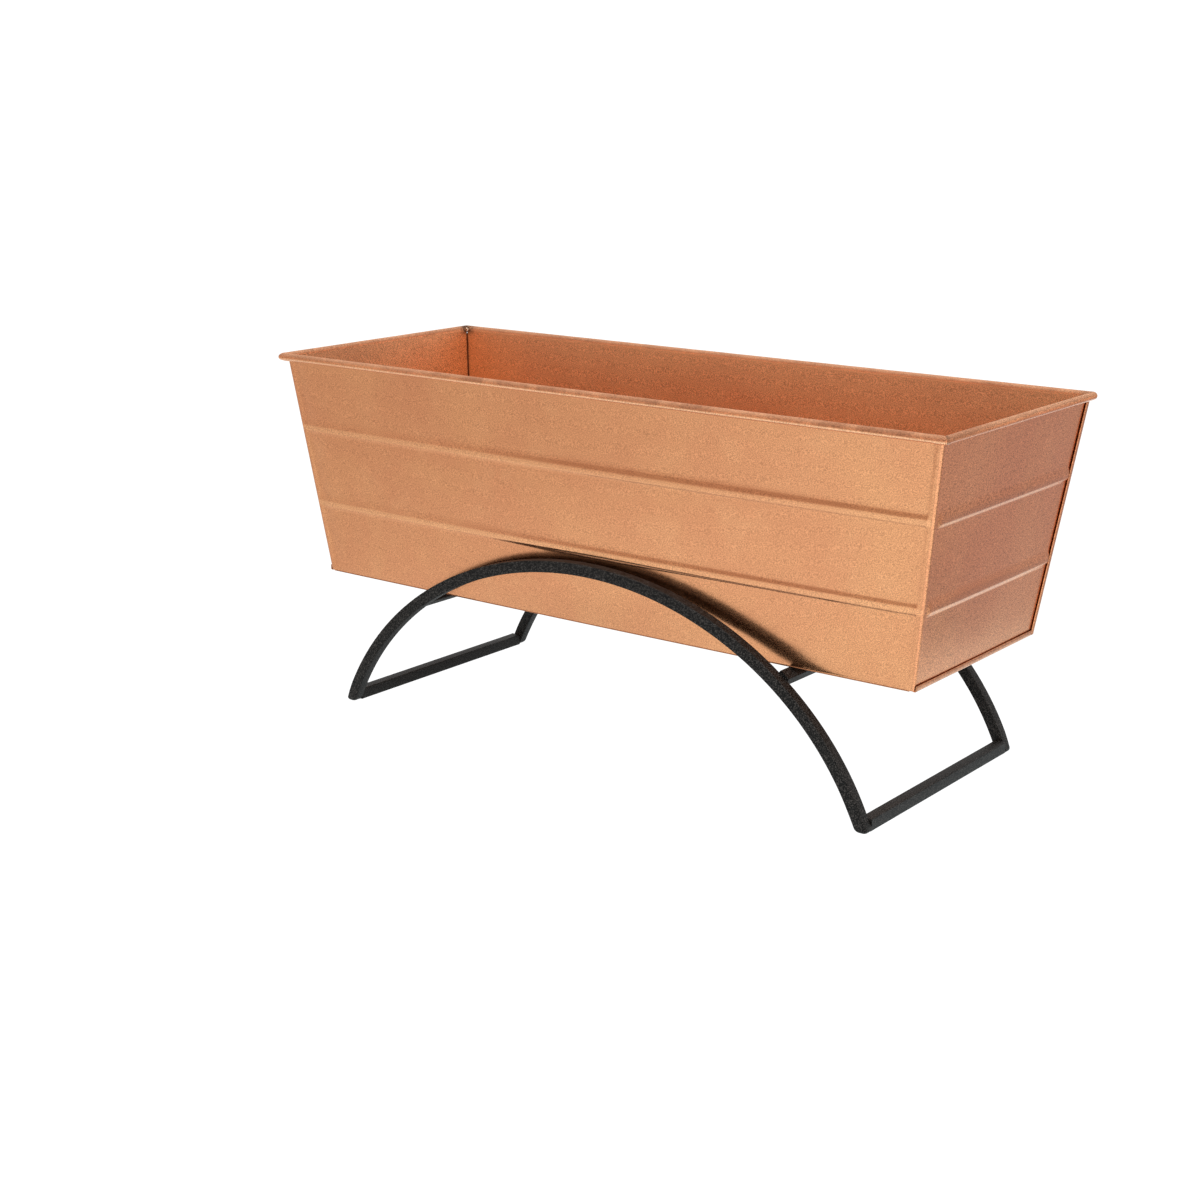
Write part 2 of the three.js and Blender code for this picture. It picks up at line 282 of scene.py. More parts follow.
def waveAt(along, level, seed):
    up = level - bottomLevel
    mask = smooth(up, 4, 34) * (1 - smooth(up, 150, 180))
    broad = wobble(along / 120, level / 95, seed)
    narrow = wobble(along / 46, level / 50, seed + 5)
    return walls["wave"] * mask * (broad + 0.35 * narrow)


def bowAt(share, level, depth):
    # share runs from -1 to 1 along the wall
    up = (level - bottomLevel) / (rimLevel - bottomLevel)
    upright = (0.45 + 0.55 * smooth(up, 0, 0.12)) * (1 - smooth(up, 0.4, 1))
    return depth * math.cos(min(abs(share), 1) * math.pi / 2) * upright


def pinchAt(nearest):
    # how far the sheet is drawn in, by the distance to the bent corner
    return -walls["cornerPinch"] * smooth(nearest, 3, 7) * (1 - smooth(nearest, 8, 21))


def ribShare(nearest):
    return smooth(nearest, ribs["inset"], ribs["inset"] + ribs["taper"])


# A station along a wall is (shift, share): its place is shift + share * (half size of the box there).
def stationsBetween(low, high, count):
    # low and high are insets from the two ends of the wall, listed from the ends inwards
    first, last = low[-1], high[-1]
    middle = [(first + (-last - first) * part / count, -1 + 2 * part / count) for part in range(1, count)]
    return [(inset, -1) for inset in low] + middle + [(-inset, 1) for inset in reversed(high)]


# planter box: rolled rim
rim = {
    "radius": 3.12,
    "rollEnd": -128,  # degrees round the bead, where the rolled edge stops short of the wall
    "rollEndDrift": 7,
    "steps": 22,
    "swell": 0.07,
    "droop": 0.06,
    "elbowInset": 1.5,  # the rear corners turn round a point this far out of the corner of the walls
    "elbowGap": 0.08,  # between the two sheets' beads, half way round a rear corner
    "snip": 0.12,  # half of the cut at a front corner, measured along a bead
    "snipRaggedness": 0.22,
    "knob": 0.18,  # swelling of a bead beside the cut
    "pinch": 0.4,  # how far a bead is hammered down at its cut end
}
beadOffset = rim["radius"] - sheet
rootEdge = 2 * rim["steps"] + 1  # the edge of a bead's ring that lies on the wall
rimHalfLength = halfLengthAt(rimLevel)
rimHalfDepth = halfDepthAt(rimLevel)
elbowTurns = (0, 9, 18, 27, 36, 45)
elbowMiddle = 45


def beadRing(along, seed, swelling=0):
    # (out, level) of the rolled edge: the inner side of the roll to its lip, then the outer side back
    rollEnd = rim["rollEnd"] + rim["rollEndDrift"] * wobble(along / 34, seed, 2.5)
    turns = arc(180, rollEnd, rim["steps"])
    swell = rim["swell"] * wobble(along / 17, seed, 0.3) + swelling
    droop = rim["droop"] * wobble(along / 55, seed, 7.1)
    ring = []
    for radius, order in ((beadOffset, turns), (rim["radius"], reversed(turns))):
        for turn in order:
            free = smooth(180 - turn, 0, 75)
            reach = radius + free * swell
            angle = math.radians(turn)
            out = beadOffset + reach * math.cos(angle)
            level = rimLevel + reach * math.sin(angle) + free * (droop - abs(swell))
            ring.append((out, level))
    return ring


def elbowRow(sideX, sideY, turn, ring, gapX=0, gapY=0):
    # a ring on its way round a corner of the rim, turned from the end (0) to the long wall (90)
    angle = math.radians(turn)
    row = []
    for out, level in ring:
        reach = max(out - rim["elbowInset"], 0)
        base = min(out, rim["elbowInset"])
        x = rimHalfLength + (base + reach * math.cos(angle)) - gapX
        y = rimHalfDepth + (base + reach * math.sin(angle)) - gapY
        row.append((sideX * x, sideY * y, level))
    return row


def loftBead(mesh, rows, firstAttached, lastAttached):
    # between those two rows the bead grows out of the wall and has no face of its own there
    def wanted(station, edge):
        return edge != rootEdge or not firstAttached <= station < lastAttached

    loft(mesh, rows, wanted)


# copper: tones and the scale, detail, roughness and distortion of each cloud
copperLook = {
    "tone": (0.66, 0.3, 0.142, 1),
    "pinkTone": (0.62, 0.262, 0.128, 1),
    "paleTone": (0.7, 0.335, 0.165, 1),
    # the smudge and stain tones paint real dirt and also painted shade; the inside tone is painted light, and
    # the lip and rib tones are painted highlights
    "smudgeAndShadeTone": (0.3, 0.14, 0.08, 1),
    "insideLitTone": (0.71, 0.385, 0.2, 1),
    "rimTone": (0.38, 0.205, 0.12, 1),
    "lipHighlightTone": (0.84, 0.46, 0.27, 1),
    "ribHighlightTone": (0.84, 0.445, 0.225, 1),
    "stainAndShadeTone": (0.07, 0.035, 0.022, 1),
    "drift": (7, 4, 0.6, 0.6),
    "patches": (26, 4, 0.6, 0.4),
    "grain": (1500, 2, 0.6),
    "grainStretch": (1, 0.6, 1),
    "peel": (260, 3, 0.55),
    "streaks": (1.6, 4, 0.65, 0.3),
    "streakStretch": (14, 14, 160),
    "grainDepth": 0.000014,
    "peelDepth": 0.000035,
    "endContrast": 0.32,  # more grain on the ends
    "roughness": 0.23,
    "patchRoughness": 0.09,
    "grainRoughness": 0.1,
    "streakRoughness": 0.05,
    "handledRoughness": 0.12,
    "rimRoughness": 0.52,  # on top of the rolled rim
}

# Bands on the copper, in metres: along, across and height are places; end, back and front are how far a place
# lies out of the inside of an end, the lap at the back and the middle of the front sheet; cut is by how much
# end is more than front. Patches and peel are clouds, without a unit.
onRim = ("height", 0.2938, 0.2952)
belowRim = ("height", 0.2915, 0.2905)
onFront = ("front", -0.0006, -0.0001)
onEnd = ("end", -0.0002, 0.0003)
inPatches = ("patches", 0.4, 0.62)
frontRun = (("across", 0.02, -0.08), ("along", -0.27, -0.1))
highlightLeft = ("along", 0.12, -0.12, 0.22, 0.5)
stripEdge = (("end", 0.0002, 0.0004), ("end", 0.0018, 0.0012))
insideCorner = (("end", 0.0012, 0.0004), ("back", 0.0012, 0.0004))
atSeam = (("end", -0.0017, -0.0006), ("back", -0.0017, -0.0006), *insideCorner)
nearSpot = (("end", -0.011, -0.003), ("end", 0.004, 0.002), ("back", -0.011, -0.003), ("back", 0.004, 0.002))
spotBlotches = (("height", 0.289, 0.2945), ("peel", 0.3, 0.55), ("along", 0.1, -0.1, 0.3, 0.85))
# painted highlight: a paler band along the lower part of each front rib, stronger to the left
ribHighlights = []
for foot in ribs["levels"]:
    low = (bottomLevel + foot) * mm
    ribBands = (("height", low - 0.0006, low + 0.0012), ("height", low + 0.0054, low + 0.0036))
    ribHighlights.append((1, *ribBands, onFront, highlightLeft))
bentCorner = (("end", -0.0019, -0.0014), ("front", -0.0022, -0.0017))
onLip = (("height", 0.2917, 0.2923), ("height", 0.2947, 0.2935), ("front", 0.0016, 0.003))
rightCorner = ("along", 0.28, 0.3)
besideCut = (("cut", -0.0002, 0.0012), ("cut", 0.006, 0.0022), ("front", 0.0002, 0.001), rightCorner)
copperMarks = {
    "top of the rim": ("rimTone", (0.9, ("height", 0.2946, 0.2972))),
    "handling": ("smudgeAndShadeTone", (0.25, inPatches, onRim), (0.35, inPatches, onRim, *frontRun)),
    # painted highlight on the lower lip of the front bead
    "painted highlight on the lip of the front's rim": ("lipHighlightTone", (0.8, *onLip)),
    # painted highlight along the front's ribs
    "painted highlight on the ribs": ("ribHighlightTone", *ribHighlights),
    # painted shade in the cut of the rim at the right front corner
    "painted shade in the cut in the rim": ("stainAndShadeTone", (0.42, *besideCut)),
    # painted shade along the front wall's lower edge
    "painted shade along the front's lower edge": ("smudgeAndShadeTone", (0.8, ("height", 0.1081, 0.1073), onFront)),
    # painted shade in the rear seams and in the inside rear corners
    "painted shade in the rear seams": ("stainAndShadeTone", (0.6, *atSeam)),
    "stain round the solder": ("stainAndShadeTone", (1, *nearSpot, *spotBlotches)),
    # painted shade along the inner edges of the folded strips, where the gap lies
    "painted shade beside the folded strips": (
        "stainAndShadeTone",
        (0.42, ("back", -0.0048, -0.0041), *stripEdge),
        (0.42, ("height", 0.1124, 0.1117), *stripEdge),
    ),
    "folded strips": ("smudgeAndShadeTone", (0.28, ("end", 0.0016, 0.002), belowRim)),
    "front corners": ("smudgeAndShadeTone", (0.2, *bentCorner, belowRim)),
}
# each side of the sheet: added roughness, painted brightness, contrast of the grain, and its own marks
copperSides = {
    "satin_copper": {"dullness": 0, "paintedLight": 1, "contrast": 0.6, "marks": {}},
    "satin_copper_inside": {
        "dullness": 0.2,
        "paintedLight": 1.02,
        "contrast": 0.85,
        "marks": {
            # painted light: the inside of the sheet is painted paler and brighter
            "painted light, paler inside": ("insideLitTone", (0.5,)),
            # painted shade on the inside, toward the left front and the right end
            "painted shade inside, toward the ends": (
                "smudgeAndShadeTone",
                (0.36, ("across", 0.03, -0.04), ("along", -0.25, -0.28)),
                (0.198, ("along", 0.1, 0.27)),
            ),
        },
    },
}


def copperFinish(name):
    look = copperLook
    side = copperSides[name]
    copper = Finish(bpy.data.materials.new(name))
    spot = copper.place()
    along = copper.axis(spot, "X")
    across = copper.axis(spot, "Y")
    height = copper.axis(spot, "Z")
    drift = copper.cloud(spot, *look["drift"])
    patches = copper.cloud(spot, *look["patches"])
    grain = copper.cloud(copper.place(look["grainStretch"]), *look["grain"])
    peel = copper.cloud(spot, *look["peel"])
    streaks = copper.cloud(copper.place(look["streakStretch"]), *look["streaks"])

    def past(place, half, slope):
        # how far a place lies out of a sloping wall
        return place - (half * mm + (height - bottomLevel * mm) * slope)

    measures = {"along": along, "across": across, "height": height, "patches": patches, "peel": peel}
    measures["end"] = past(copper.absolute(along), walls["bottomLength"] / 2 - sheet, walls["endSlope"])
    measures["back"] = past(across, walls["bottomDepth"] / 2 - lapInset, walls["sideSlope"])
    measures["front"] = past(across * -1, walls["bottomDepth"] / 2 - sheet / 2, walls["sideSlope"])
    measures["cut"] = measures["end"] - measures["front"]
    colour = copper.mix(copper.between(drift, 0.34, 0.66), look["pinkTone"], look["tone"])
    colour = copper.mix(copper.between(patches, 0.45, 0.8) * 0.5, colour, look["paleTone"])
    colour = copper.lay(colour, side["marks"], look, measures)
    colour = copper.lay(colour, copperMarks, look, measures)
    contrast = side["contrast"] + look["endContrast"] * copper.share(measures, [(1, onEnd)])
    # the side's painted brightness multiplies the colour here
    speckle = ((copper.between(grain, 0.3, 0.7) - 0.5) * contrast + 0.99) * side["paintedLight"]
    tint = copper.node("CombineColor", {}, {0: speckle, 1: speckle, 2: speckle})
    colour = copper.mix(1, colour, tint, "MULTIPLY")
    rough = look["roughness"] + look["patchRoughness"] * (patches - 0.5)
    rough = rough + look["grainRoughness"] * (grain - 0.5) + look["streakRoughness"] * (streaks - 0.5)
    rough = rough + look["handledRoughness"] * copper.share(measures, copperMarks["handling"][1:])
    rough = rough + look["rimRoughness"] * copper.share(measures, [(1, onRim)]) + side["dullness"]
    normal = copper.bump(peel, look["peelDepth"])
    normal = copper.bump(grain, look["grainDepth"], normal)
    return copper.surface({"Base Color": colour, "Roughness": rough, "Metallic": 1, "Normal": normal})


blackLook = {
    "tone": (0.001, 0.0008, 0.0007, 1),
    "paleTone": (0.055, 0.049, 0.045, 1),
    "wornTone": (0.032, 0.031, 0.03, 1),
    "grain": (1250, 3, 0.6),
    "lumps": (320, 2, 0.5),
    "wear": (38, 5, 0.65, 0.5),
    "gloss": 0.12,
    "roughness": 0.5,
    "lumpDepth": 0.00009,
    "grainDepth": 0.000054,
}


def blackFinish():
    look = blackLook
    black = Finish(bpy.data.materials.new("black_powder_coat"))
    spot = black.place()
    grain = black.cloud(spot, *look["grain"])
    lumps = black.cloud(spot, *look["lumps"])
    wear = black.cloud(spot, *look["wear"])
    colour = black.mix(black.between(grain, 0.46, 0.68), look["tone"], look["paleTone"])
    colour = black.mix(black.between(wear, 0.6, 0.8) * 0.35, colour, look["wornTone"])
    rough = look["roughness"] + 0.16 * (grain - 0.5) + 0.12 * (wear - 0.5)
    normal = black.bump(lumps, look["lumpDepth"])
    normal = black.bump(grain, look["grainDepth"], normal)
    sockets = {"Base Color": colour, "Roughness": rough, "Normal": normal}
    sockets["Specular IOR Level"] = look["gloss"]
    return black.surface(sockets)


wireLook = {
    "tone": (0.42, 0.43, 0.44, 1),
    "paleTone": (0.6, 0.61, 0.61, 1),
    "dullTone": (0.33, 0.32, 0.3, 1),
    "spangleScale": 420,
    "haze": (130, 4, 0.6),
    "hazeDepth": 0.00003,
}


def wireFinish():
    look = wireLook
    wire = Finish(bpy.data.materials.new("galvanised_wire"))
    spot = wire.place()
    spangle = wire.node("TexVoronoi", {}, {"Vector": spot, "Scale": look["spangleScale"]})
    haze = wire.cloud(spot, *look["haze"])
    colour = wire.mix(wire.between(spangle, 0.1, 0.7), look["tone"], look["paleTone"])
    colour = wire.mix(wire.between(haze, 0.5, 0.8) * 0.5, colour, look["dullTone"])
    rough = 0.38 + 0.25 * haze
    normal = wire.bump(haze, look["hazeDepth"])
    return wire.surface({"Base Color": colour, "Roughness": rough, "Metallic": 1, "Normal": normal})


solderLook = {
    "tone": (0.78, 0.56, 0.39, 1),
    "fluxTone": (0.1, 0.055, 0.035, 1),
    "flux": (300, 5, 0.65, 0.6),
    "pits": (1100, 3, 0.6),
    "fluxDepth": 0.00025,
    "pitDepth": 0.00004,
}


def solderFinish():
    look = solderLook
    solder = Finish(bpy.data.materials.new("darkened_solder"))
    spot = solder.place()
    flux = solder.cloud(spot, *look["flux"])
    pits = solder.cloud(spot, *look["pits"])
    colour = solder.mix(solder.between(flux, 0.4, 0.62), look["tone"], look["fluxTone"])
    rough = 0.34 + 0.4 * solder.between(flux, 0.35, 0.7)
    normal = solder.bump(flux, look["fluxDepth"], solder.bump(pits, look["pitDepth"]))
    metal = 0.95 - 0.35 * solder.between(flux, 0.4, 0.7)
    return solder.surface({"Base Color": colour, "Roughness": rough, "Metallic": metal, "Normal": normal})


copperSheet = copperFinish("satin_copper")
copperInside = copperFinish("satin_copper_inside")
blackCoat = blackFinish()
galvanisedWire = wireFinish()
darkSolder = solderFinish()
print("finishes made")

# planter box: front wall and ends, one sheet bent round the two front corners
lowerLip = {
    "out": 0.03,  # the front wall's edge is pressed out over the joint with the bottom
    "groove": 0.25,
    "levels": (0.3, 0.6, 0.8, 1, 1.3, 1.8, 2.6),  # more points up the wall there
    "start": (3.35, 3.6),  # from the corner of the box, where the edge comes down to the bottom
    "fade": (3.6, 6),
}
bend = {
    "insets": [3.3, 3.6, 4.1, 4.7, 5.4, 6.2, 7.2, 8.5, 10.5, 13, 17, 23],  # stations beside a bent corner
    "rearInsets": [lapInset, 2.5, 4.6, 5, 5.5, 8, 14, 22],
    "turns": (15, 30, 45, 60, 75),
    "endStations": 13,
    "sideStations": 52,
}


def frontAndEndSheet():
    levels = wallLevels(bottomLevel)
    levels[1:1] = [bottomLevel + step for step in lowerLip["levels"]]
    endLow = bottomLevel + lapInset
    radius = walls["cornerRadius"]
    insets = [radius] + bend["insets"]
    endStations = stationsBetween(insets, bend["rearInsets"], bend["endStations"])
    frontStations = stationsBetween(insets, insets, bend["sideStations"])

    def lipOut(level):
        up = level - bottomLevel
        out = lowerLip["out"] * (1 - smooth(up, 0.4, 0.8))
        return out - lowerLip["groove"] * smooth(up, 0.4, 0.9) * (1 - smooth(up, 1.3, 2.4))

    def sheetRing(outAt, lowEdge, place):
        ring = []
        for inside, order in ((0, levels), (sheet, reversed(levels))):
            for level in order:
                raised = level + (lowEdge - bottomLevel) * (1 - smooth(level, bottomLevel, bottomLevel + 6))
                ring.append(place(outAt(raised) - inside, raised))
        return ring

    def endRing(side, station):
        shift, share = station
        nearRear = (1 - share) * farIn - shift if share > 0 else farIn
        nearFront = (1 + share) * farIn + shift if share < 0 else farIn
        strength = smooth(nearFront, ribs["inset"], ribs["inset"] + ribs["endTaper"])
        strength *= smooth(nearRear, *ribs["stripStop"])
        calm = calmAt(nearFront) * calmAt(nearRear)

        def outAt(level):
            along = shift + share * halfDepthAt(level)
            relief = ribs["endRelief"] * strength * ribOut(level, 0) + calm * waveAt(along, level, 20 + side)
            return relief + bowAt(along / halfDepthAt(level), level, walls["endBow"])

        def place(out, level):
            return side * (halfLengthAt(level) + out), shift + share * halfDepthAt(level), level

        return sheetRing(outAt, endLow, place)

    def cornerRing(side, turn):
        angle = math.radians(turn)

        def place(out, level):
            x = halfLengthAt(level) - radius + (radius + out) * math.cos(angle)
            y = halfDepthAt(level) - radius + (radius + out) * math.sin(angle)
            return side * x, -y, level

        return sheetRing(lambda level: 0, endLow, place)

    def frontRing(station):
        shift, share = station
        nearest = fromCorner(shift, share)
        strength = ribShare(nearest)
        calm = calmAt(nearest)
        lip = smooth(nearest, *lowerLip["fade"])

        def outAt(level):
            along = shift + share * halfLengthAt(level)
            relief = strength * ribOut(level, smooth(along, *ribs["crispFrom"])) + lip * lipOut(level)
            relief += calm * waveAt(along, level, 1)
            relief += bowAt(along / halfLengthAt(level), level, walls["sideBow"])
            clear = smooth(level, bottomLevel + 2, bottomLevel + 12)
            clear *= 1 - smooth(level, rimLevel - 4, rimLevel)
            return relief + pinchAt(nearest) * clear

        def place(out, level):
            return shift + share * halfLengthAt(level), -(halfDepthAt(level) + out), level

        lowEdge = endLow + (bottomLevel - endLow) * smooth(nearest, *lowerLip["start"])
        return sheetRing(outAt, lowEdge, place)

    # each run's rings; the rolled rim grows out of the wall between the rings of an end or of the front
    runs = (
        (True, [endRing(1, station) for station in reversed(endStations)]),
        (False, [cornerRing(1, turn) for turn in bend["turns"]]),
        (True, [frontRing(station) for station in reversed(frontStations)]),
        (False, [cornerRing(-1, turn) for turn in reversed(bend["turns"])]),
        (True, [endRing(-1, station) for station in endStations]),
    )
    rings = []
    attached = []
    for hasRim, run in runs:
        rings += run
        attached += [hasRim] * (len(run) - 1) + [False]
    topEdge = len(levels) - 1
    mesh = bmesh.new()
    loft(mesh, rings, lambda station, edge: edge != topEdge or not attached[station], lined=True)

    # along the last few millimetres of a bead, up to the cut: (share of the way, swelling)
    knob, pinch = rim["knob"], rim["pinch"]
    beadTip = ((0.45, knob), (0.75, knob * 0.4), (0.92, -pinch * 0.4), (1, -pinch))

    def tipRun(half, out, order, share):
        cut = half + out - rim["snip"] - rim["snipRaggedness"] * wobble(order / 3, 4.4, 1.7)
        start = half - radius
        return start + (cut - start) * share

    for side in (1, -1):
        seed = 30 + side
        rows = []
        for turn in reversed(elbowTurns):
            gap = rim["elbowGap"] if turn == elbowMiddle else 0
            rows.append(elbowRow(side, 1, turn, beadRing(rimHalfDepth, seed), gapY=gap))
        firstAttached = len(rows)
        for shift, share in reversed(endStations):
            y = shift + share * rimHalfDepth
            rows.append([(side * (rimHalfLength + out), y, level) for out, level in beadRing(y, seed)])
        lastAttached = len(rows) - 1
        for share, swelling in beadTip:
            row = []
            for order, (out, level) in enumerate(beadRing(-rimHalfDepth, seed, swelling)):
                row.append((side * (rimHalfLength + out), -tipRun(rimHalfDepth, out, order, share), level))
            rows.append(row)
        loftBead(mesh, rows, firstAttached, lastAttached)

    def frontBeadEnd(side, share, swelling):
        row = []
        for order, (out, level) in enumerate(beadRing(side * rimHalfLength, 11, swelling)):
            x = tipRun(rimHalfLength, out, order + 40, share)
            row.append((side * x, -(rimHalfDepth + out), level))
        return row

    rows = [frontBeadEnd(1, share, swelling) for share, swelling in reversed(beadTip)]
    for shift, share in reversed(frontStations):
        x = shift + share * rimHalfLength
        near = smooth(abs(x), rimHalfLength - 9, rimHalfLength - 4)
        rows.append([(x, -(rimHalfDepth + out), level) for out, level in beadRing(x, 11, near * knob)])
    rows += [frontBeadEnd(-1, share, swelling) for share, swelling in beadTip]
    loftBead(mesh, rows, len(beadTip), len(rows) - 1 - len(beadTip))
    nodes = ["front_and_end_panels"]
    piece = makePiece("front_and_end_sheet", mesh, copperSheet, "planter_box", nodes)
    piece.data.materials.append(copperInside)
    return piece


frontAndEndSheet()

# planter box: back wall and bottom, one sheet hemmed over the rear and lower edges of both ends
hem = {
    "width": 4.5,
    "gap": 0.3,
    "thickness": 1.4,
    "cornerRadius": 1.2,
    "top": 291.3,
    "seam": 1,  # from the end wall's outer face in to where the folded strip starts
    "uneven": 0.14,
    "insets": [1.6, 2.4, 3.3, 3.7, 4.1, 4.6, 5.2, 6, 8.5, 14, 22],  # stations beside the seam
}
floorSheet = {
    "backBend": 1.5,
    "frontBend": 0.9,
    "flangeLevels": (4.5, 3, 1.5),  # of the flange inside the front wall, above the bottom
    "flangeStop": 4.05,  # from the corner of the box
}


def sheetSection(inside):
    # (side, out, level, kind) from the flange inside the front wall, along the bottom and up the back wall
    points = []
    thickness = sheet if inside else 0
    for up in floorSheet["flangeLevels"]:
        points.append(("front", -lapInset - thickness, bottomLevel + up, "flange"))
    frontBend = floorSheet["frontBend"]
    for turn in (180, 202, 225, 247, 270):
        angle = math.radians(turn)
        out = -lapInset - frontBend - (frontBend - thickness) * math.cos(angle)
        up = frontBend + (frontBend - thickness) * math.sin(angle)
        points.append(("front", out, bottomLevel + up, "flange"))
    for share in arc(-0.95, 0.95, 12):
        points.append(("floor", share, bottomLevel + thickness, "floor"))
    backBend = floorSheet["backBend"]
    for turn in (-90, -67, -45, -22, 0):
        angle = math.radians(turn)
        out = (backBend - thickness) * math.cos(angle) - backBend
        up = backBend + (backBend - thickness) * math.sin(angle)
        points.append(("back", out, bottomLevel + up, "bend"))
    for level in wallLevels(bottomLevel + backBend)[1:]:
        points.append(("back", -thickness, level, "wall"))
    return points


def foldedStrips(mesh):
    # strips over the rear and lower edges of both ends; the outline is (out of the end, in from the edge)
    outside = hem["gap"] + hem["thickness"]
    foldRadius = hem["thickness"] / 2
    corner = hem["cornerRadius"]
    outline = [(-hem["seam"], 0)]
    for turn in (90, 67, 45, 22, 0):
        angle = math.radians(turn)
        outline.append((outside - corner + corner * math.cos(angle), -corner + corner * math.sin(angle)))
    for turn in (0, -25, -50, -75, -90, -105, -130, -155, -180):
        angle = math.radians(turn)
        across = hem["gap"] + foldRadius + foldRadius * math.cos(angle)
        outline.append((across, foldRadius - hem["width"] + foldRadius * math.sin(angle)))
    outline += [(hem["gap"], -sheet - 0.25), (hem["gap"] - 0.2, -sheet), (-hem["seam"], -sheet)]

    for side in (-1, 1):
        rows = []
        for level in arc(bottomLevel + sheet + 0.02, hem["top"], 30):
            uneven = hem["uneven"] * wobble(level / 19, side, 3.2)
            row = []
            for out, back in outline:
                slack = uneven * smooth(-back, 2, 4.5)
                x = side * (halfLengthAt(level) + out)
                row.append((x, halfDepthAt(level) + back + slack, level))
            rows.append(row)
        loft(mesh, rows, solid=True)

        front = -(halfDepthAt(bottomLevel) - lapInset)
        back = halfDepthAt(bottomLevel)
        butt = back - hem["width"] - 0.05
        places = [front, front + 0.3] + arc(front + hem["width"] + 0.3, butt, 26)
        rows = []
        for order, y in enumerate(places + [butt + 0.04, back - corner, back - 0.35, back]):
            limit = outside
            if order > len(places):
                gap = max(y - (back - corner), 0)
                limit = outside - corner + math.sqrt(max(corner * corner - gap * gap, 0))
            row = []
            for out, down in outline:
                up = -down
                if order >= len(places):
                    up = min(up, sheet)
                uneven = hem["uneven"] * wobble(y / 19, side, 8.2) * smooth(up, 2, 4.5)
                level = bottomLevel + up + uneven
                mitred = max(y, front + 0.15 * up) if order < 3 else y
                row.append((side * (halfLengthAt(level) + min(out, limit)), mitred, level))
            rows.append(row)
        loft(mesh, rows, solid=True)


def backAndBottomSheet():
    mesh = bmesh.new()
    section = sheetSection(False) + list(reversed(sheetSection(True)))
    insets = [hem["seam"]] + hem["insets"]
    stations = stationsBetween(insets, insets, bend["sideStations"])

    def ring(station):
        shift, share = station
        nearest = fromCorner(shift, share)
        strength = ribShare(nearest)
        calm = calmAt(nearest)
        made = []
        for side, out, level, kind in section:
            if kind == "flange" and nearest < floorSheet["flangeStop"]:
                level = min(level, bottomLevel + sheet)  # the flange stops short of the front corners
            x = shift + share * halfLengthAt(level)
            if kind == "wall":
                out += strength * ribOut(level, ribs["rearCrispness"]) + calm * waveAt(x, level, 47)
            if side != "floor":
                out += bowAt(x / halfLengthAt(level), level, walls["sideBow"])
            if side == "front":
                y = -(halfDepthAt(level) + out)
            elif side == "back":
                y = halfDepthAt(level) + out
            else:
                y = out * (halfDepthAt(bottomLevel) - 1)
            made.append((x, y, level))
        return made

    topEdge = len(section) // 2 - 1
    loft(mesh, [ring(station) for station in stations], lambda station, edge: edge != topEdge, lined=True)

    def cornerRow(side, turn):
        gap = rim["elbowGap"] if turn == elbowMiddle else 0
        return elbowRow(side, 1, turn, beadRing(side * rimHalfLength, 12), gapX=gap)

    backTurns = [90 - turn for turn in elbowTurns]
    rows = [cornerRow(-1, turn) for turn in reversed(backTurns)]
    firstAttached = len(rows)
    for shift, share in stations:
        x = shift + share * rimHalfLength
        rows.append([(x, rimHalfDepth + out, level) for out, level in beadRing(x, 12)])
    lastAttached = len(rows) - 1
    rows += [cornerRow(1, turn) for turn in backTurns]
    loftBead(mesh, rows, firstAttached, lastAttached)
    foldedStrips(mesh)
    nodes = ["back_and_bottom_panel"]
    piece = makePiece("back_and_bottom_sheet", mesh, copperSheet, "planter_box", nodes)
    piece.data.materials.append(copperInside)
    return piece


backAndBottomSheet()

# planter box: wire in the rim and solder in the rear corners
rimWire = {
    "radius": 2.3,
    "steps": 14,
    "buttGap": 0.3,
}


def wireInRim():
    radius = rimWire["radius"]
    section = []
    for turn in arc(0, 360, rimWire["steps"])[:-1]:
        angle = math.radians(turn)
        section.append((beadOffset + radius * math.cos(angle), rimLevel + radius * math.sin(angle)))
    fromEnd = (0, 22, 45, 67, 90)
    toEnd = fromEnd[::-1]
    rows = [[(rimWire["buttGap"], rimHalfDepth + out, level) for out, level in section]]
    for sideX, sideY, turns in ((1, 1, toEnd), (1, -1, fromEnd), (-1, -1, toEnd), (-1, 1, fromEnd)):
        rows += [elbowRow(sideX, sideY, turn, section) for turn in turns]
    rows.append([(-rimWire["buttGap"], rimHalfDepth + out, level) for out, level in section])
    mesh = bmesh.new()
    loft(mesh, rows, solid=True)
    return makePiece("rim_wire_rod", mesh, galvanisedWire, "planter_box", ["rim_wire"])


solderShape = {
    "size": (1.7, 1.6, 1.7),
    "level": 294.6,
    "lumps": 0.3,
    "clearance": 0.04,
}


def solderSpot(sideName, side):
    spot = solderShape
    mesh = bmesh.new()
    bmesh.ops.create_icosphere(mesh, subdivisions=5, radius=1)
    cornerX = halfLengthAt(spot["level"]) - sheet
    cornerY = halfDepthAt(spot["level"]) - sheet
    for vertex in mesh.verts:
        place = vertex.co.copy()
        lump = 1 + spot["lumps"] * wobble(place.x * 2 + side, place.y * 2, place.z * 2.4)
        lump += 0.5 * spot["lumps"] * wobble(place.x * 5, place.y * 5 + side, place.z * 5)
        x = cornerX + place.x * spot["size"][0] * lump
        y = cornerY + place.y * spot["size"][1] * lump
        z = spot["level"] + place.z * spot["size"][2] * lump
        x = min(x, halfLengthAt(z) - sheet - spot["clearance"])
        y = min(y, halfDepthAt(z) - sheet - spot["clearance"])
        vertex.co = (side * x, y, z)
    name = sideName + "_rear_solder"
    return makePiece(name + "_spot", mesh, darkSolder, "planter_box", [name], 60, 0)


wireInRim()
solderSpot("left", -1)
solderSpot("right", 1)
print("planter box made")

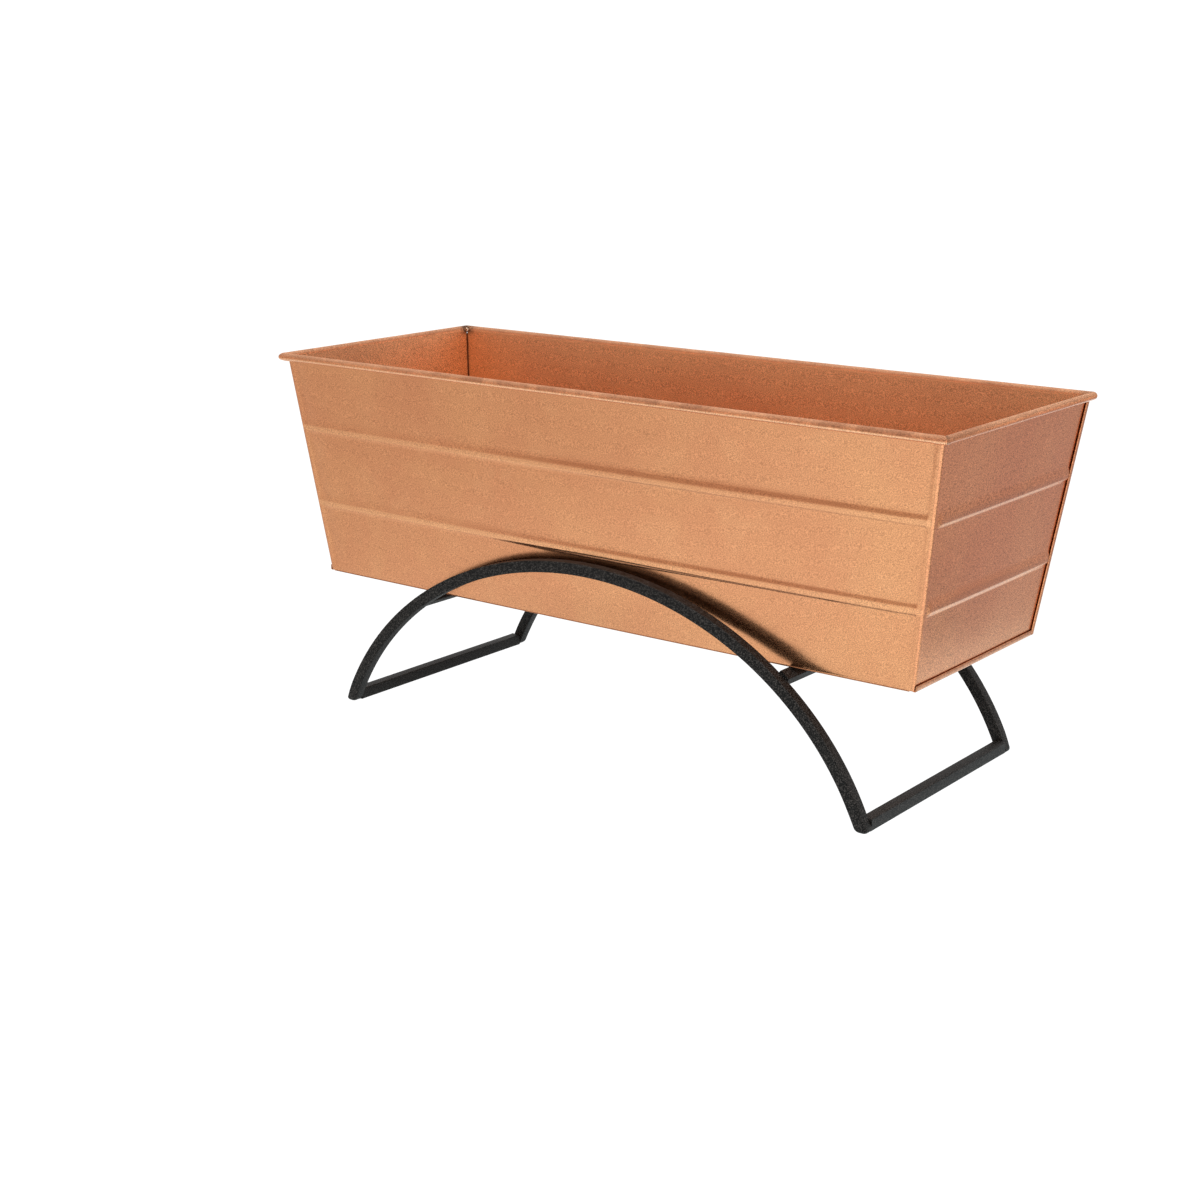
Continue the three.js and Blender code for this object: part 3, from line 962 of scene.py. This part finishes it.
# stand
stand = {
    "bar": 9.5,
    "edge": 0.85,  # softened edges of the bar
    "shift": 7,  # of the stand's middle, to the right of the box's
    "archHalfSpan": 274,
    "archHalfRise": 237,
    "archTop": 161,
    "archInner": 108.5,  # from the middle of the box to an arch's inner side
    "footRounds": (3.2, 2.2, 2.4),  # grinding of a foot: its outer, front and inner lower edges
    "footCorner": 2.3,  # upright outer edge at the foot
    "footInset": 1.5,
    "footWeld": 0.12,  # how far the ground weld swells a foot bar's ends
    "archRings": 84,
    "crossBarProud": 2,
    "barInsets": [0, 1.2, 2.6, 4.5, 7, 11],  # rings near the ends of a bar between the arches
    "barInner": 20,
}
bar = stand["bar"]


def archEdge(turn, depth):
    # (x, z) on the outer edge of an arch, or depth in from it
    x = stand["archHalfSpan"] * math.sin(turn)
    z = stand["archTop"] - stand["archHalfRise"] * (1 - math.cos(turn))
    normal = Vector((math.sin(turn) / stand["archHalfSpan"], math.cos(turn) / stand["archHalfRise"]))
    normal.normalize()
    return Vector((x, z)) - depth * normal


def turnUntil(isHigh):
    # the turn down from the top of the arch at which isHigh stops being true
    low, high = 0, math.pi / 2
    for halving in range(50):
        middle = (low + high) / 2
        if isHigh(middle):
            low = middle
        else:
            high = middle
    return low


def turnAtHeight(height, depth):
    return turnUntil(lambda turn: archEdge(turn, depth).y > height)


def softRectangle(low, high, radii):
    # outline of a bar's section in (u, v); radii are for its corners, turning from (low u, low v)
    corners = (
        (low[0], low[1], 1, 1, 180),
        (high[0], low[1], -1, 1, 270),
        (high[0], high[1], -1, -1, 0),
        (low[0], high[1], 1, -1, 90),
    )
    outline = []
    for (u, v, inU, inV, start), radius in zip(corners, radii):
        for turn in arc(start, start + 90, 4):
            angle = math.radians(turn)
            outline.append((u + radius * (inU + math.cos(angle)), v + radius * (inV + math.sin(angle))))
    return outline


def archPiece(name, facing):
    # facing is -1 for the front arch, 1 for the rear one
    outerRound, frontRound, innerRound = stand["footRounds"]
    edge = stand["edge"]
    outerEnd = turnAtHeight(outerRound, 0)
    innerEnd = turnAtHeight(outerRound, bar)

    def ring(outer, inner, insets, side):
        across = inner - outer
        width = across.length
        across.normalize()
        corner = edge + (stand["footCorner"] - edge) * (1 - smooth(outer.y, 2, 15))
        low = (insets[0], insets[1])
        high = (width - insets[2], bar)
        row = []
        for u, v in softRectangle(low, high, (corner, edge + 0.5 * (corner - edge), edge, edge)):
            place = outer + across * u
            x = stand["shift"] + side * place.x
            row.append((x, facing * (stand["archInner"] + bar - v), place.y))
        return row

    half = []
    count = stand["archRings"] // 2
    for step in range(count + 1):
        share = step / count
        turn = outerEnd * share
        innerTurn = turn + (innerEnd - outerEnd) * smooth(share, 0.82, 1)
        half.append((archEdge(turn, 0), archEdge(innerTurn, bar), (0, 0, 0)))
    for turn in (18, 36, 54, 72, 90):
        angle = math.radians(turn)
        height = outerRound * (1 - math.sin(angle))
        grow = 1 - math.cos(angle)
        outer = archEdge(turnAtHeight(height, 0), 0)
        inner = archEdge(turnAtHeight(height, bar), bar)
        half.append((outer, inner, (outerRound * grow, frontRound * grow, innerRound * grow)))
    rows = [ring(outer, inner, insets, -1) for outer, inner, insets in reversed(half[1:])]
    rows += [ring(outer, inner, insets, 1) for outer, inner, insets in half]
    mesh = bmesh.new()
    loft(mesh, rows, solid=True)
    return makePiece(name + "_bar", mesh, blackCoat, "stand", [name], 50)


def crosswiseBar(name, x, z, tilt, weldBulge=0):
    half = bar / 2
    edge = stand["edge"]
    outline = softRectangle((-half, -half), (half, half), (edge,) * 4)
    reach = stand["archInner"]
    places = [inset - reach for inset in stand["barInsets"]]
    places += arc(stand["barInner"] - reach, reach - stand["barInner"], 8)
    places += [reach - inset for inset in reversed(stand["barInsets"])]
    rows = []
    for y in places:
        bulge = weldBulge * (1 - smooth(reach - abs(y), 1, 8))
        row = []
        for u, v in outline:
            grow = bulge * (0.7 + 0.6 * wobble(u / 3, v / 3, y / 4 + x)) / half
            wide = u * (1 + grow)
            tall = v * (1 + grow) if v > 0 else v  # the underside stays flat
            along = wide * math.cos(tilt) + tall * math.sin(tilt)
            up = tall * math.cos(tilt) - wide * math.sin(tilt)
            row.append((stand["shift"] + x + along, y, z + up))
        rows.append(row)
    mesh = bmesh.new()
    loft(mesh, rows, solid=True)
    return makePiece(name + "_steel", mesh, blackCoat, "stand", [name], 50)


def crossBarAt(turn):
    # centre, tilt and top of a bar that follows the slope of the arch
    centre = archEdge(turn, bar / 2 - stand["crossBarProud"])
    rise = stand["archHalfRise"] * math.sin(turn)
    tilt = math.atan2(rise, stand["archHalfSpan"] * math.cos(turn))
    soft = bar / 2 - stand["edge"]
    reach = soft * (math.sin(tilt) + math.cos(tilt)) + stand["edge"]
    return centre, tilt, centre.y + reach


weldBead = {
    "leg": 2.9,
    "ripple": 0.22,
    "pitch": 1.35,
    "stations": 26,
    "topGap": 1.6,  # below the arch's outer edge
    "sink": 0.01,
}


def weldAt(name, centre, tilt, side, facing):
    # a rippled bead down the cross bar's face that looks to the middle of the stand
    slope = side * tilt
    outward = Vector((math.sin(slope), 0, math.cos(slope)))
    uphill = Vector((-side * math.cos(slope), 0, side * math.sin(slope)))
    inward = Vector((0, facing, 0))
    middle = Vector((stand["shift"] + side * centre.x, -facing * stand["archInner"], centre.y))
    root = middle + uphill * bar / 2
    top = bar / 2 - stand["crossBarProud"] - weldBead["topGap"]
    bottom = stand["edge"] - bar / 2
    rows = []
    for step in range(weldBead["stations"] + 1):
        share = step / weldBead["stations"]
        run = bottom + (top - bottom) * share
        ripple = abs(math.sin(math.pi * run / weldBead["pitch"]))
        ends = smooth(share, 0, 0.16) * (1 - smooth(share, 0.84, 1))
        leg = weldBead["leg"] * (0.35 + 0.65 * ends) * (1 - weldBead["ripple"] * (1 - ripple))
        base = root + outward * run
        row = [base + inward * weldBead["sink"] + uphill * weldBead["sink"]]
        for turn in arc(0, 90, 6):
            angle = math.radians(turn)
            swell = leg * (1 - 0.26 * math.sin(2 * angle))
            row.append(base + inward * swell * math.cos(angle) + uphill * swell * math.sin(angle))
        rows.append(row)
    mesh = bmesh.new()
    loft(mesh, rows, solid=True)
    return makePiece(name + "_bead", mesh, blackCoat, "stand", [name], 60)


archPiece("front_arch", -1)
archPiece("rear_arch", 1)
footX = archEdge(turnAtHeight(0, 0), 0).x - stand["footInset"] - bar / 2
crosswiseBar("left_foot_bar", -footX, bar / 2, 0, stand["footWeld"])
crosswiseBar("right_foot_bar", footX, bar / 2, 0, stand["footWeld"])
seatTurn = turnUntil(lambda turn: crossBarAt(turn)[2] > bottomLevel)
seatCentre, seatTilt, seatTop = crossBarAt(seatTurn)
for sideName, side in (("left", -1), ("right", 1)):
    barName = sideName + "_cross_bar"
    crosswiseBar(barName, side * seatCentre.x, seatCentre.y, side * seatTilt)
    for endName, facing in (("front", 1), ("rear", -1)):
        weldAt(barName + "_" + endName + "_weld", seatCentre, seatTilt, side, facing)
print("stand made: the box rests", round(seatTop, 2), "mm above the floor")

# studio: the floor reflects in the copper, so it gives off more or less light from place to place
studio = {
    "floorSize": 24,
    "floorDrop": 0.0002,
    "floorSeen": 1.1,  # brightness of the floor itself
    "nearGlow": (0.99, 1.1, 1.13, 1),
    "leftGlow": (0.67, 0.66, 0.64, 1),
    "rightGlow": (1.5, 1.55, 1.6, 1),
    "rearGlow": (0.3, 0.235, 0.24, 1),
    "farGlow": (0.46, 0.36, 0.365, 1),
    "hazeGlow": (0.9, 0.9, 0.9, 1),
    "darkEnd": (0.66, 0.57, 0.52, 1),  # the unlit end of the room, in front of the box
    "shadeGlow": (0.1, 0.07, 0.06, 1),
    "haze": (1.3, 3, 0.5),
    "sky": (0.9, 0.89, 0.88, 1),
    "skySeen": (1.2, 1.2, 1.2, 1),
    "horizon": (0.7, 0.68, 0.66, 1),
    "lights": (
        # name, place, aim, size, power, colour
        ("key_light", (1.9, 1.2, 1.5), (0.2, 0, 0.1), 1.6, 4, (1, 0.985, 0.97)),
        ("top_light", (0.1, -0.2, 2.3), (0, 0, 0.1), 4.2, 112, (1, 1, 1)),
        ("right_light", (2.2, -0.9, 1.3), (0.2, 0, 0.2), 1.4, 8, (0.95, 0.97, 1)),
    ),
}
pastRightEnd = ("x", 0.33, 0.45)
betweenFeet = ("outX", 0.28, 0.12)
floorGlows = {
    "right half": ("nearGlow", (1, ("x", -0.78, 0))),
    "in front, past the right end": ("rightGlow", (1, ("y", 0, -0.15), ("x", 0.25, 0.5))),
    "behind, to the right": ("rearGlow", (1, ("y", -0.05, 0.35), pastRightEnd)),
    "further behind": ("farGlow", (1, ("y", 0.24, 0.45), pastRightEnd)),
    "haze": ("hazeGlow", (0.06, ("haze",))),
    "unlit end of the room": ("darkEnd", (0.7, ("y", -0.9, -1.7))),
    "shade under the box": (
        "shadeGlow",
        (0.82, ("outY", 0.15, 0.04), betweenFeet),
        (0.14, ("x", 0.1, -0.12), ("outY", 0.4, 0.24), betweenFeet),
    ),
}


def floorFinish():
    floor = Finish(bpy.data.materials.new("pale_floor"))
    spot = floor.place()
    x = floor.axis(spot, "X")
    y = floor.axis(spot, "Y")
    measures = {"x": x, "y": y, "outX": floor.absolute(x), "outY": floor.absolute(y)}
    measures["haze"] = floor.cloud(spot, *studio["haze"])
    glow = floor.lay(studio["leftGlow"], floorGlows, studio, measures)
    sockets = {"Base Color": (0.1, 0.1, 0.1, 1), "Roughness": 1, "Specular IOR Level": 0}
    sockets.update({"Emission Color": glow, "Emission Strength": 1})
    lit = floor.node("BsdfPrincipled", {}, sockets)
    white = floor.node("Emission", {}, {"Color": (1, 1, 1, 1), "Strength": studio["floorSeen"]})
    seen = floor.node("LightPath", {}, {}, "Is Camera Ray")
    surface = floor.node("MixShader", {}, {0: seen, 1: lit, 2: white})
    floor.node("OutputMaterial", {}, {"Surface": surface})
    return floor.owner


def makeFloor():
    mesh = bmesh.new()
    bmesh.ops.create_grid(mesh, x_segments=8, y_segments=8, size=studio["floorSize"] / 2)
    data = bpy.data.meshes.new("floor")
    mesh.to_mesh(data)
    mesh.free()
    data.materials.append(floorFinish())
    floor = bpy.data.objects.new("floor", data)
    floor.location.z = -studio["floorDrop"]
    bpy.context.collection.objects.link(floor)


def makeSky():
    world = bpy.data.worlds.new("studio_room")
    bpy.context.scene.world = world
    room = Finish(world)
    direction = room.node("TexCoord", {}, {}, "Generated")
    height = room.axis(direction, "Z")
    colour = room.mix(room.between(height, -0.02, 0.4), studio["horizon"], studio["sky"])
    toFront = room.between(room.axis(direction, "Y"), 0.05, -0.3) * room.between(height, 0.5, 0.25)
    colour = room.mix(toFront, colour, studio["darkEnd"])
    seen = room.node("LightPath", {}, {}, "Is Camera Ray")
    colour = room.mix(seen, colour, studio["skySeen"])
    light = room.node("Background", {}, {"Color": colour, "Strength": 1})
    room.node("OutputWorld", {}, {"Surface": light})


def makeLights():
    for name, place, aim, size, power, colour in studio["lights"]:
        data = bpy.data.lights.new(name, "AREA")
        data.shape = "DISK"
        data.size = size
        data.energy = power
        data.color = colour
        light = bpy.data.objects.new(name, data)
        light.location = place
        light.rotation_mode = "QUATERNION"
        light.rotation_quaternion = (Vector(aim) - Vector(place)).to_track_quat("-Z", "Y")
        bpy.context.collection.objects.link(light)


camera = {
    "azimuth": 37.376,
    "elevation": 15.14,
    "roll": 0.256,
    "place": (0.92219, -1.31168, 0.53706),
    "lens": 59.88,
    "sensor": 36,
    "shift": (0.01212, 0.00312),
    "clip": (0.05, 100),
}


def makeCamera():
    azimuth, elevation, roll = [math.radians(camera[name]) for name in ("azimuth", "elevation", "roll")]
    level = math.cos(elevation)
    back = Vector((math.sin(azimuth) * level, -math.cos(azimuth) * level, math.sin(elevation)))
    flatRight = Vector((math.cos(azimuth), math.sin(azimuth), 0))
    flatUp = back.cross(flatRight)
    right = math.cos(roll) * flatRight + math.sin(roll) * flatUp
    up = back.cross(right)
    data = bpy.data.cameras.new("photo_camera")
    data.sensor_width = camera["sensor"]
    data.lens = camera["lens"]
    data.shift_x, data.shift_y = camera["shift"]
    data.clip_start, data.clip_end = camera["clip"]
    view = bpy.data.objects.new("photo_camera", data)
    turned = Matrix((right, up, back)).transposed().to_4x4()
    view.matrix_world = Matrix.Translation(camera["place"]) @ turned
    bpy.context.collection.objects.link(view)
    bpy.context.scene.camera = view


makeFloor()
makeSky()
makeLights()
makeCamera()
bpy.context.scene.view_settings.view_transform = "Standard"
print("studio made")
